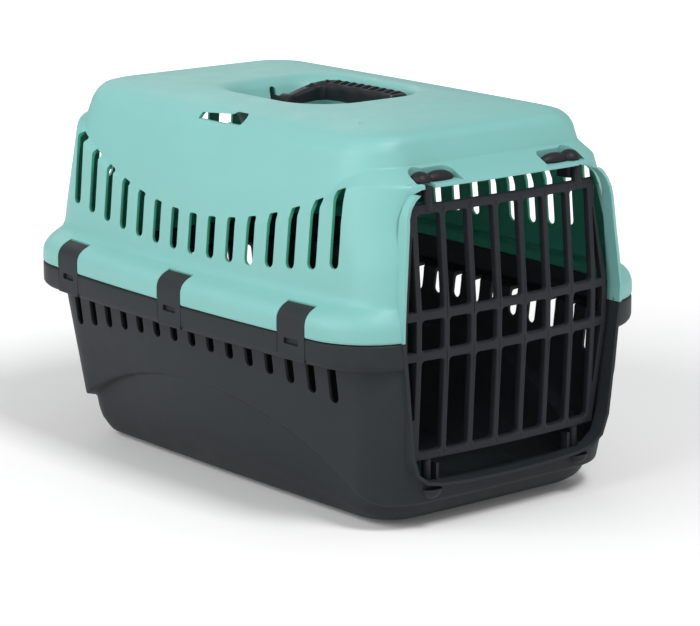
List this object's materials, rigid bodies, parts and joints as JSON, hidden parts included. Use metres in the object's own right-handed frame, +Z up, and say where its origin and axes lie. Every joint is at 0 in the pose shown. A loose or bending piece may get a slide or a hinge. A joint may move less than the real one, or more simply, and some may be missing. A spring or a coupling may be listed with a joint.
{
  "type": "pet transport carrier",
  "caption": "Two-part moulded pet carrier with slotted sides, a barred front door held by turn latches, side clips and a folding roof handle.",
  "frame": {"origin": "middle of the carrier's plan outline, on the level of its feet", "axes": "+Z up, -Y out through the door, +Y to the rear, +X to the side of the door's hinge posts"},
  "size_m": [0.3256, 0.4489, 0.302],
  "materials": {
    "shell": "fine matt moulded grain",
    "tray": "fine matt moulded grain",
    "grille": "satin",
    "latch": "satin",
    "handle": "satin"
  },
  "bodies": {
    "carrier": {"bottom_tray": "tray", "top_shell": "shell"},
    "door": {"door_grille": "grille"},
    "latch_right": {"latch_knob_right": "latch", "latch_cam_right": "latch"},
    "latch_left": {"latch_knob_left": "latch", "latch_cam_left": "latch"},
    "clip_right_front": {"clip_right_front": "tray"},
    "clip_right_middle": {"clip_right_middle": "tray"},
    "clip_right_rear": {"clip_right_rear": "tray"},
    "clip_left_front": {"clip_left_front": "tray"},
    "clip_left_middle": {"clip_left_middle": "tray"},
    "clip_left_rear": {"clip_left_rear": "tray"},
    "handle_pins": {"handle_pin_front": "handle", "handle_pin_rear": "handle"},
    "handle": {"carry_handle": "handle"}
  },
  "joints": [
    {"name": "door_swing", "type": "hinge", "parent": "carrier", "child": "door", "pos_m": [0.0755, -0.207, 0.15], "axis": [0, 0, 1], "range_deg": [0, 120]},
    {"name": "latch_turn_right", "type": "hinge", "parent": "carrier", "child": "latch_right", "pos_m": [0.0755, -0.1985, 0.2649], "axis": [0, 0, 1], "range_deg": [0, 90]},
    {"name": "latch_turn_left", "type": "hinge", "parent": "carrier", "child": "latch_left", "pos_m": [-0.0755, -0.1985, 0.2649], "axis": [0, 0, -1], "range_deg": [0, 90]},
    {"name": "clip_right_front_open", "type": "hinge", "parent": "carrier", "child": "clip_right_front", "pos_m": [0.15632, -0.14692, 0.1335], "axis": [0.0704, 0.9975, 0], "range_deg": [0, 100]},
    {"name": "clip_right_middle_open", "type": "hinge", "parent": "carrier", "child": "clip_right_middle", "pos_m": [0.1615, -0.0015, 0.1335], "axis": [0.0007, 1, 0], "range_deg": [0, 100]},
    {"name": "clip_right_rear_open", "type": "hinge", "parent": "carrier", "child": "clip_right_rear", "pos_m": [0.15656, 0.14342, 0.1335], "axis": [-0.0687, 0.9976, 0], "range_deg": [0, 100]},
    {"name": "clip_left_front_open", "type": "hinge", "parent": "carrier", "child": "clip_left_front", "pos_m": [-0.15632, -0.14692, 0.1335], "axis": [0.0704, -0.9975, 0], "range_deg": [0, 100]},
    {"name": "clip_left_middle_open", "type": "hinge", "parent": "carrier", "child": "clip_left_middle", "pos_m": [-0.1615, -0.0015, 0.1335], "axis": [0.0007, -1, 0], "range_deg": [0, 100]},
    {"name": "clip_left_rear_open", "type": "hinge", "parent": "carrier", "child": "clip_left_rear", "pos_m": [-0.15656, 0.14342, 0.1335], "axis": [-0.0687, -0.9976, 0], "range_deg": [0, 100]},
    {"name": "handle_lift", "type": "slide", "parent": "carrier", "child": "handle_pins", "axis": [0, 0, 1], "range_m": [0, 0.006]},
    {"name": "handle_fold", "type": "hinge", "parent": "handle_pins", "child": "handle", "pos_m": [0, 0.003, 0.2865], "axis": [0, -1, 0], "range_deg": [0, 161]}
  ]
}
